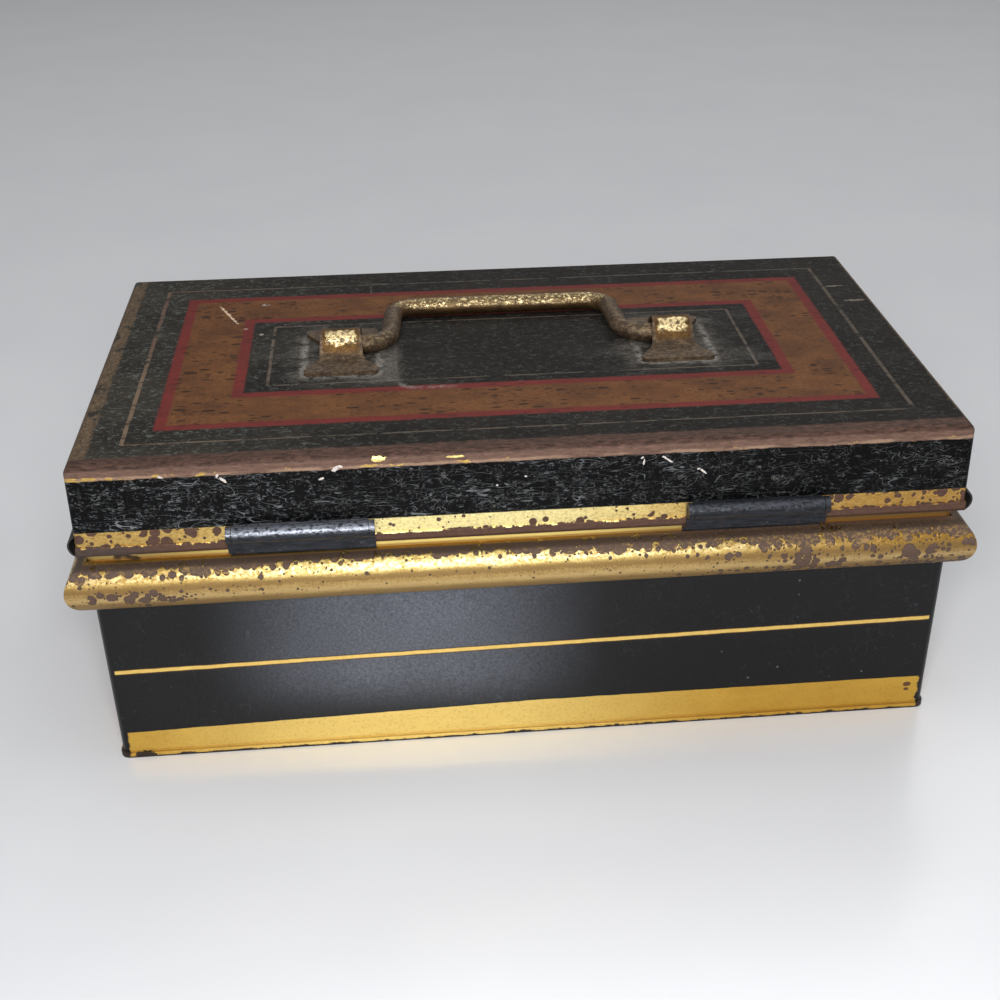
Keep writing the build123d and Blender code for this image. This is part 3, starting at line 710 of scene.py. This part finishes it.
def body_gold(p, coat, foot, fine):
    """Adds the gold line, the dark foot and the gold band, worn along its lower edge, with a
    painted highlight in the middle of the hinge side's band.

    Gives the coat, where the gold is, and the chips in the band.
    """
    from_middle = p.y - BODY_MID_Y
    back = from_middle.rise(*HINGE_WALL)
    run = (p.x.abs() * -1.0 + GOLD_END_X).rise(-0.2, 0.2)
    run = run.max(from_middle.abs().fall(*SHORT_WALL))
    height = p.z + (p.noise(5, detail=3, seed=11) - 0.5) * 0.35
    off_line = height + p.x * back * LINE_SLOPE - LINE_HEIGHT
    line = off_line.between(-0.62, 0.62, 0.1) * run
    line_rim = off_line.between(-1.0, 0.95, 0.25) * run
    line_gold = p.mix(p.noise(1.6, detail=3, seed=13), (212, 172, 88), (240, 206, 118))

    off_top = height + p.x.max(0.0) * back * BAND_SLOPE - BAND_HEIGHT
    nick = p.noise(2.4, (1.8, 1.8, 1), detail=4, rough=0.65, seed=14)
    worn_foot = p.x.abs().rise(100, 124) * 0.6 + 0.4
    low = p.z - nick.rise(0.4, 0.75) * 2.0 * worn_foot - 0.35
    corner_wear = p.x.fall(-124, -118) * 3.0 + 1.6
    short_of_end = (p.x.abs() + (nick - 0.5) * corner_wear).fall(122.0, 122.6)
    band = off_top.fall(-0.1, 0.1) * low.rise(0.0, 0.3) * run
    band = band * (short_of_end * back + 1.0 - back)
    # Painted highlight: paler gold in the middle of the hinge side's band
    bright = p.x.between(-30.0, 96.0, 40.0) * back
    gold = p.over(
        p.mix(p.noise(7, (2, 2, 1), detail=4, seed=17), (190, 144, 52), (218, 176, 78)),
        (bright * 0.5, (250, 226, 142)),
        (fine.rise(0.5, 0.7) * 0.35, (164, 120, 46)),
    )
    pock = p.scatter(3.2, nick * 0.16 + 0.08, seed=18).rise(-0.03, 0.03)
    for place, reach in BAND_CHIPS:
        pock = pock.max(p.mark(("x", "z"), place, reach, 0.2, 0.8) * back)
    coat = p.over(
        coat,
        (line_rim * 0.8, (70, 46, 26)),
        (line, line_gold),
        (foot, (44, 33, 26)),
        (band, gold),
        (pock * band, (96, 60, 36)),
    )
    return coat, (band * (1.0 - pock)).max(line * 0.7), pock


def body_neck(p, coat):
    """Adds the neck under the lid: a gold strip with painted shade on its lower edge, over
    painted shade where the moulding meets the wall.

    Gives the coat and where the strip is.
    """
    neck = p.z - BEAD_MID - BEAD_HALF
    worn = p.noise(5, (2, 2, 1), detail=4, seed=19) + p.x.abs().fall(60, 120) * 0.2
    strip = neck.rise(-0.6, -0.4) * neck.fall(NECK_TOP - 0.2, NECK_TOP + 0.2)
    strip = strip * worn.rise(0.36, 0.44)
    dull = p.x.fall(-80, 0).max(p.x.rise(70, 110) * 0.7)
    tone = p.over(
        p.mix(dull, (252, 224, 134), (128, 96, 50)),
        # Painted shade: darker orange along the strip's lower edge
        (neck.fall(0.4, 1.0) * 0.7, (150, 98, 34)),
    )
    # Painted shade on the neck where the moulding meets the wall, under the strip
    coat = p.over(coat, (neck.between(-0.6, NECK_TOP, 0.1), (58, 40, 22)), (strip, tone))
    return coat, strip


def body_paint():
    """Smooth black on the body with a gold line and a gold band at the foot."""
    p = Paint("body_japan")
    peel = p.noise(0.9, detail=2.5, rough=0.6)
    cloud = p.noise(26, detail=3, seed=3)
    fine = p.noise(0.55, (1.4, 1.4, 1), detail=3, rough=0.7, seed=6)
    foot = p.z.fall(*FOOT_TOP)
    coat = body_black(p, cloud, fine)
    coat, gold, pock = body_gold(p, coat, foot, fine)
    coat, strip = body_neck(p, coat)

    # Inner faces look towards the middle: the walls below their rim, and the bottom's top
    inner = (p.x * p.nx + (p.y - BODY_MID_Y) * p.ny).fall(-1, 1) * p.z.fall(*INSIDE_TOP)
    inner = inner.max(p.nz.rise(0.5, 0.8) * p.z.fall(*BOTTOM_SHEET_TOP))
    p.set(Base_Color=p.mix(inner, coat, plain_inside(p)))

    gilt = gold.max(strip) * (1.0 - inner)
    rough = p.blend(gilt, p.blend(foot, 0.26, 0.5), 0.34) + cloud * 0.08
    p.set(Metallic=gilt * 0.66, Roughness=rough, Specular_IOR_Level=0.3)
    p.bump(peel * 0.8 + fine * 0.3 - pock * 0.4, 0.08)
    return p.material


# ---- The gilt mouldings --------------------------------------------------------------

def gilt_tones(p, level, grain, soft):
    """Gold above and brushed ochre below, with painted light: brightest in the middle along X, a
    painted glint on the gold, and painted reflection bands in the ochre.

    Gives the colour and where it is gold.
    """
    sand = p.noise(0.8, (1.4, 1.4, 1), detail=2, seed=3)
    brushed = p.noise(0.8, (8, 8, 0.8), detail=3, rough=0.6, seed=8)
    # Painted light along X: lighter towards the middle, painted shade towards the ends, and a
    # painted glint on the gold
    lit = p.x.rise(-120, 10) * (1.0 - p.x.rise(55, 115) * 0.6)
    glint = level.between(0.42, 0.66, 0.1) * lit * sand.rise(0.4, 0.55)
    gold = p.over(
        p.mix(soft, (206, 172, 84), (246, 230, 158)),
        (1.0 - lit, (166, 128, 60)),
        (grain.rise(0.44, 0.62) * 0.5, (150, 114, 46)),
        (sand.fall(0.36, 0.48) * 0.35, (124, 92, 38)),
        (glint * 0.6, (255, 248, 206)),
    )
    belt = level + (soft - 0.5) * 0.16 + (grain - 0.5) * 0.5
    ochre = p.over(
        p.mix(brushed, (146, 114, 60), (198, 168, 104)),
        ((1.0 - lit) * 0.5, (116, 86, 48)),
        (grain.rise(0.48, 0.66) * 0.35, (112, 82, 38)),
        # Painted reflection: a dark band under the gold and a pale band lower down, then darker
        # towards the bottom
        (belt.rise(-0.02, 0.12) * 0.75, (126, 96, 48)),
        (belt.between(-0.34, -0.1, 0.08) * 0.4, (210, 182, 126)),
        (belt.fall(-0.5, -0.3) * 0.5, (112, 84, 46)),
    )
    seam = belt.rise(0.22, 0.44)
    return p.mix(seam, ochre, gold), seam


def gilt_rust(p, coat, level):
    """Adds rust: thick along the top, in clusters towards +X and still more towards -X.

    Gives the coat, the rust and its rims.
    """
    cluster = p.noise(9, (1.6, 1.6, 1), detail=3, seed=18).rise(0.4, 0.6)
    right = p.x.fall(-100, -5)
    left = p.x.rise(48, 100) * 0.5 + p.x.between(100.0, 122.0, 4.0) * 0.3
    share = (right * 0.6 + left * 0.62) * cluster + right * 0.36 + left * 0.16
    lift = p.x.between(4.0, 78.0, 16.0) * 0.14 - p.x.between(-48.0, -14.0, 14.0) * 0.05
    crown = (level - lift).rise(0.36, 0.86) * (1.3 - right * 0.5 - p.x.rise(84, 100) * 0.4)
    low_left = p.x.between(96.0, 124.0, 4.0) * level.between(-0.4, 0.1, 0.15) * 0.5
    low_share = level.fall(-0.5, -0.2) * (right * 0.2 - 0.1) + low_left
    big = p.scatter(4.8, share * 0.85 + crown + 0.14 + low_left, 15, grow=0.64)
    middling = p.scatter(2.5, share * 0.95 + crown + 0.42 + low_share, 21, grow=0.64)
    dots = p.scatter(1.2, share * 0.5 + crown * 0.6 + 0.4 + low_share, 24, grow=0.6)
    deep = big.max(middling * 0.55).max(dots * 0.25)
    rust = deep.rise(-0.012, 0.012)
    rim = deep.between(-0.012, 0.05, 0.02)
    tone = p.mix(p.noise(1.1, detail=4, rough=0.65, seed=26), (60, 44, 35), (100, 75, 59))
    tone = p.mix(rim * 0.6, tone, (62, 42, 34))

    # Bronze where the gilt is thin, and specks of gilt left in the rust
    bronze = level.rise(0.3, 0.6) * p.noise(1.0, (2, 2, 1), detail=4, seed=29).rise(0.4, 0.6)
    flecked = p.noise(1.6, (3, 3, 1), detail=4, rough=0.7, seed=30).rise(0.56, 0.66)
    flecked = rust * flecked * level.between(0.4, 0.86, 0.1)
    sparse = p.noise(0.8, (1.4, 1.4, 1), detail=4, rough=0.7, seed=31).rise(0.5, 0.6)
    sparse = sparse * rust * level.between(0.36, 0.94, 0.08) * (right * 0.45 + left * 0.3 + 0.15)
    coat = p.over(
        coat,
        (bronze * 0.55, (126, 96, 46)),
        (rust, tone),
        (flecked * 0.7, (170, 132, 66)),
        (sparse, (158, 126, 64)),
    )
    return coat, rust, rim


def gilt_paint(name, middle, half, gilt_end=None):
    """Gilt half-round moulding: rusty on top, gold, then ochre below, with rust spots, and
    painted shade underneath and in the crease against the wall.

    Its section runs half each way from middle along Z. Past gilt_end along Y it is bare.
    """
    p = Paint(name)
    level = (p.z - middle) / half
    grain = p.noise(0.55, detail=4, rough=0.75, seed=1)
    soft = p.noise(4, (2.2, 2.2, 1), detail=3, seed=6)
    coat, seam = gilt_tones(p, level, grain, soft)
    coat, rust, rim = gilt_rust(p, coat, level)
    # Painted shade: dark on the underside and in the crease where the moulding meets the wall
    underside_shade = level.fall(-0.97, -0.84)
    crease_shade = level.between(0.8, 0.95, 0.04)
    top_line = level.rise(0.945, 0.97) * p.x.rise(-60, 0)
    coat = p.over(
        coat,
        (underside_shade * 0.85, (48, 32, 20)),
        (crease_shade * 0.8, (50, 33, 19)),
        (top_line * 0.5, (190, 150, 66)),
    )
    bare = rust * (1.0 - top_line)
    if gilt_end is not None:
        gone = (p.y + (soft - 0.5) * 3.0).rise(gilt_end - 0.6, gilt_end + 0.6)
        coat = p.mix(gone, coat, (30, 26, 24))
        bare = bare.max(gone)
    rough = p.blend(bare, p.blend(seam, 0.42, 0.32), 0.58) + grain * 0.1
    p.set(Base_Color=coat, Metallic=(1.0 - bare) * p.blend(seam, 0.45, 0.82), Roughness=rough)
    p.bump(grain * 0.8 - rust * 0.5 - rim * 0.2, 0.2)
    return p.material


# ---- Hinges, handle and lock ---------------------------------------------------------

def metal(name, dark, light, roughness, metallic, grain):
    """Old metal: two tones in patches, fine speckle and a slightly uneven surface."""
    p = Paint(name)
    patch = p.noise(grain * 6, detail=4, rough=0.6, seed=1)
    fine = p.noise(grain, detail=3, rough=0.7, seed=5)
    tone = p.mix(patch.rise(0.3, 0.7), dark, light)
    tone = p.mix(fine.rise(0.55, 0.75) * 0.5, tone, dark)
    rough = fine * 0.2 + patch * 0.1 + (roughness - 0.12)
    p.set(Base_Color=tone, Metallic=metallic, Roughness=rough)
    p.bump(fine + patch, 0.12)
    return p.material


def hinge_paint():
    """Blue-black hinge, pitted along the barrel, with a speckled highlight painted along its
    crest.
    """
    p = Paint("hinge_steel")
    pits = p.noise(0.8, (1.6, 1, 1), detail=3, rough=0.65, seed=2)
    lines = p.noise(0.8, (7, 0.8, 0.8), detail=3, rough=0.6, seed=4)
    patch = p.noise(5, (1.6, 1, 1), detail=3, seed=6)
    # Painted highlight along the barrel's crest, stronger towards +X, broken up by the pits
    crest = (p.z - HINGE_Z).rise(-0.2, 1.4)
    lit = p.x.rise(-30, 50)
    worn_end = p.noise(2, detail=3, seed=9).rise(0.56, 0.66) * (1.0 - crest)
    tone = p.over(
        p.mix(lines.rise(0.3, 0.7), (20, 22, 26), (42, 45, 51)),
        (crest * pits.rise(0.34, 0.56) * (lit * 0.66 + 0.2), (128, 132, 142)),
        (pits.rise(0.6, 0.7) * patch.rise(0.45, 0.6) * 0.35, (120, 124, 132)),
        (worn_end * 0.5, (70, 52, 44)),
    )
    p.set(Base_Color=tone, Metallic=0.6, Roughness=pits * 0.2 + 0.24)
    p.bump(pits * 0.7 + lines * 0.3, 0.22)
    return p.material


def ear_wear(p):
    """Where an ear is rubbed bare, where a highlight is painted on its crown, how it sparkles,
    and its pits.
    """
    ragged = (p.noise(1.7, detail=3, seed=12) - 0.5) * 2.6
    across = ((p.x - HANDLE_X).abs() - EAR_X).abs()
    height = p.z - LID_TOP
    bare = height.rise(1.6, 3.8) * across.fall(5.2, 6.0)
    # Painted highlight on the front of the crown, ragged at its edges
    brass_highlight = (p.y - EAR_Y + ragged).between(1.1, 4.4, 0.4) * (across + ragged).fall(3.8, 5.0)
    brass_highlight = brass_highlight * (height + ragged * 0.5).rise(1.6, 2.8)
    sparkle = p.noise(1.1, detail=3, rough=0.6, seed=13).rise(0.4, 0.54) * 0.65 + 0.22
    pits = p.scatter(2.3, 0.85, seed=11, grow=0.6).rise(-0.03, 0.03)
    return bare, brass_highlight, sparkle, pits


def wire_wear(p, mottle):
    """The same for the handle's wire, with the highlight painted on the grip's crown."""
    grip = p.y.fall(-26, -21)
    # Painted highlight where the wire faces up and towards +Y, mostly on the grip
    crown = (p.nz * 0.8 + p.ny * 0.6).abs().rise(0.6, 0.97)
    bare = grip * 0.75 + p.x.abs().rise(40, 48) * 0.3
    sparkle = p.noise(0.65, (1.7, 1, 1), detail=3, rough=0.6, seed=13).rise(0.48, 0.58)
    sparkle = sparkle * mottle.rise(0.4, 0.56) * 0.85 + 0.08
    pits = p.scatter(1.1, 0.5, seed=11, grow=0.6).rise(-0.06, 0.06)
    return bare, crown * (grip * 0.85 + 0.1), sparkle, pits


def handle_paint(name, on_ear):
    """Old brass under brown tarnish, with a painted highlight on the crown and dark round pits
    in it.
    """
    p = Paint(name)
    grain = p.noise(0.5, detail=4, rough=0.75, seed=3)
    patch = p.noise(5, detail=4, rough=0.6, seed=5)
    streaks = p.noise(0.8, (5, 0.8, 0.8), detail=3, seed=8)
    mottle = p.noise(1.3, (1.4, 1, 1), detail=4, rough=0.7, seed=14)
    bare, brass_highlight, sparkle, pits = ear_wear(p) if on_ear else wire_wear(p, mottle)
    tarnish = p.over(
        p.mix(streaks, (58, 45, 34), (98, 79, 58)),
        (grain.rise(0.48, 0.68) * 0.5, (38, 30, 23)),
        (mottle.rise(0.5, 0.6) * 0.5, (128, 108, 84)),
        (mottle.fall(0.4, 0.5) * 0.5, (40, 33, 27)),
    )
    brass = p.over(
        p.mix(patch.rise(0.3, 0.7), (68, 49, 27), (110, 81, 45)),
        (grain.rise(0.42, 0.62) * 0.55, (54, 40, 24)),
    )
    tone = p.over(
        tarnish,
        (bare, brass),
        # Painted highlight over the rubbed brass of the crown
        (brass_highlight * sparkle, (246, 222, 168)),
        (pits * brass_highlight * 0.85, (62, 45, 28)),
    )
    p.set(Base_Color=tone, Metallic=p.blend(bare, 0.6, 0.9) - pits * brass_highlight * 0.3)
    p.set(Roughness=p.blend(brass_highlight, 0.4, 0.22) + grain * 0.2)
    p.bump(grain * 0.7 + streaks * 0.2 + sparkle * brass_highlight * 0.3 - pits * brass_highlight * 0.4, 0.2)
    return p.material


def dress_all():
    """Gives every CAD node its material."""
    dress(lid_paint(), "lid_shell")
    dress(body_paint(), "body_shell", "bottom_plate")
    dress(
        gilt_paint("body_gilt", BEAD_MID, BEAD_HALF),
        "bead_back", "bead_front", "bead_left", "bead_right",
    )
    dress(
        gilt_paint("lid_gilt", LID_BOTTOM + LID_BEAD_HALF, LID_BEAD_HALF, LID_BEAD_GILT_END),
        "lid_bead_left", "lid_bead_right", "lid_bead_front",
    )
    dress(
        hinge_paint(), "hinge_leaf_body_left", "hinge_leaf_body_right",
        "hinge_leaf_lid_left", "hinge_leaf_lid_right", "hinge_pin_left", "hinge_pin_right",
    )
    dress(handle_paint("ear_brass", on_ear=True), "handle_ear_left", "handle_ear_right")
    dress(handle_paint("wire_brass", on_ear=False), "handle_bail")
    dress(
        metal("plate_brass", (150, 116, 62), (196, 160, 96), 0.34, metallic=0.9, grain=0.8),
        "escutcheon", "escutcheon_pins", "lock_bolt",
    )
    dress(
        metal("lock_iron", (52, 50, 48), (96, 92, 88), 0.42, metallic=0.85, grain=0.9),
        "lock_case", "lock_cap", "bolt_stud", "bolt_spring", "key_post", "lock_rivets",
        "cap_screws", "lid_staple", "staple_rivets",
    )


# ---- Added piece, floor, lamps and camera --------------------------------------------

def add_object(name, data):
    """Puts a new object in the scene."""
    made = bpy.data.objects.new(name, data)
    scene.collection.objects.link(made)
    return made


def make_flecks():
    """The crumbs of white paint stuck to the lid's hinge wall."""
    draw = random.Random(7)
    crumbs = bmesh.new()
    for x, z, length, width, tilt in CRUMBS:
        turn = Matrix.Rotation(math.radians(tilt), 4, "Y")
        size = Matrix.Diagonal((length / 2, CRUMB_THICK, width / 2, 1))
        place = Matrix.Translation((x, LID_Y, z)) @ turn @ size
        made = bmesh.ops.create_icosphere(crumbs, subdivisions=2, radius=1.0)
        for corner in made["verts"]:
            swell = 1.0 + draw.uniform(-CRUMB_SWELL, CRUMB_SWELL)
            corner.co = (place @ (corner.co * swell)) * MM
    mesh = bpy.data.meshes.new("paint_flecks")
    crumbs.to_mesh(mesh)
    crumbs.free()
    p = Paint("fleck_paint")
    white = p.mix(p.noise(0.6, detail=3), (176, 164, 156), (226, 220, 214))
    p.set(Base_Color=white, Roughness=0.6)
    p.bump(p.noise(0.4, detail=2), 0.1)
    mesh.materials.append(p.material)
    flecks = add_object("paint_flecks", mesh)
    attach(flecks, "lid")


def make_floor():
    """A wide pale floor at the foot of the box, with a slight gloss."""
    mesh = bpy.data.meshes.new("floor")
    corners = [(-1, -1), (1, -1), (1, 1), (-1, 1)]
    places = [(x * FLOOR_REACH, y * FLOOR_REACH, 0) for x, y in corners]
    mesh.from_pydata(places, [], [(0, 1, 2, 3)])
    p = Paint("floor_white")
    pale = p.mix(p.noise(60, detail=3), (202, 203, 206), (209, 210, 212))
    p.set(Base_Color=pale, Roughness=0.24)
    mesh.materials.append(p.material)
    add_object("floor", mesh)


def make_lamp(name, place, size, power):
    """A soft rectangular lamp that faces the box."""
    light = bpy.data.lights.new(name, "AREA")
    light.shape = "RECTANGLE"
    light.size, light.size_y = size
    light.energy = power
    lamp = add_object(name, light)
    lamp.location = place
    aim = Vector(LAMP_AIM) - Vector(place)
    lamp.rotation_euler = aim.to_track_quat("-Z", "Y").to_euler()


def make_camera():
    """The photograph's viewpoint, fitted to the lid and the body's edges."""
    lens = bpy.data.cameras.new("camera")
    lens.lens = FOCAL_LENGTH
    lens.sensor_width = SENSOR_WIDTH
    lens.shift_x, lens.shift_y = SHIFT
    lens.clip_start = 0.01
    back = -Vector(VIEW_FORWARD)
    place = Matrix((Vector(VIEW_RIGHT), Vector(VIEW_UP), back)).transposed().to_4x4()
    place.translation = Vector(VIEW_PLACE) * MM
    camera = add_object("camera", lens)
    camera.matrix_world = place
    scene.camera = camera


def make_room():
    """Soft light from all round."""
    world = bpy.data.worlds.new("room")
    world.use_nodes = True
    background = world.node_tree.nodes["Background"]
    background.inputs["Color"].default_value = ROOM_COLOUR
    background.inputs["Strength"].default_value = ROOM_STRENGTH
    scene.world = world


dress_all()
make_flecks()
make_floor()
for lamp_settings in LAMPS:
    make_lamp(*lamp_settings)
make_camera()
make_room()
scene.view_settings.view_transform = "Standard"
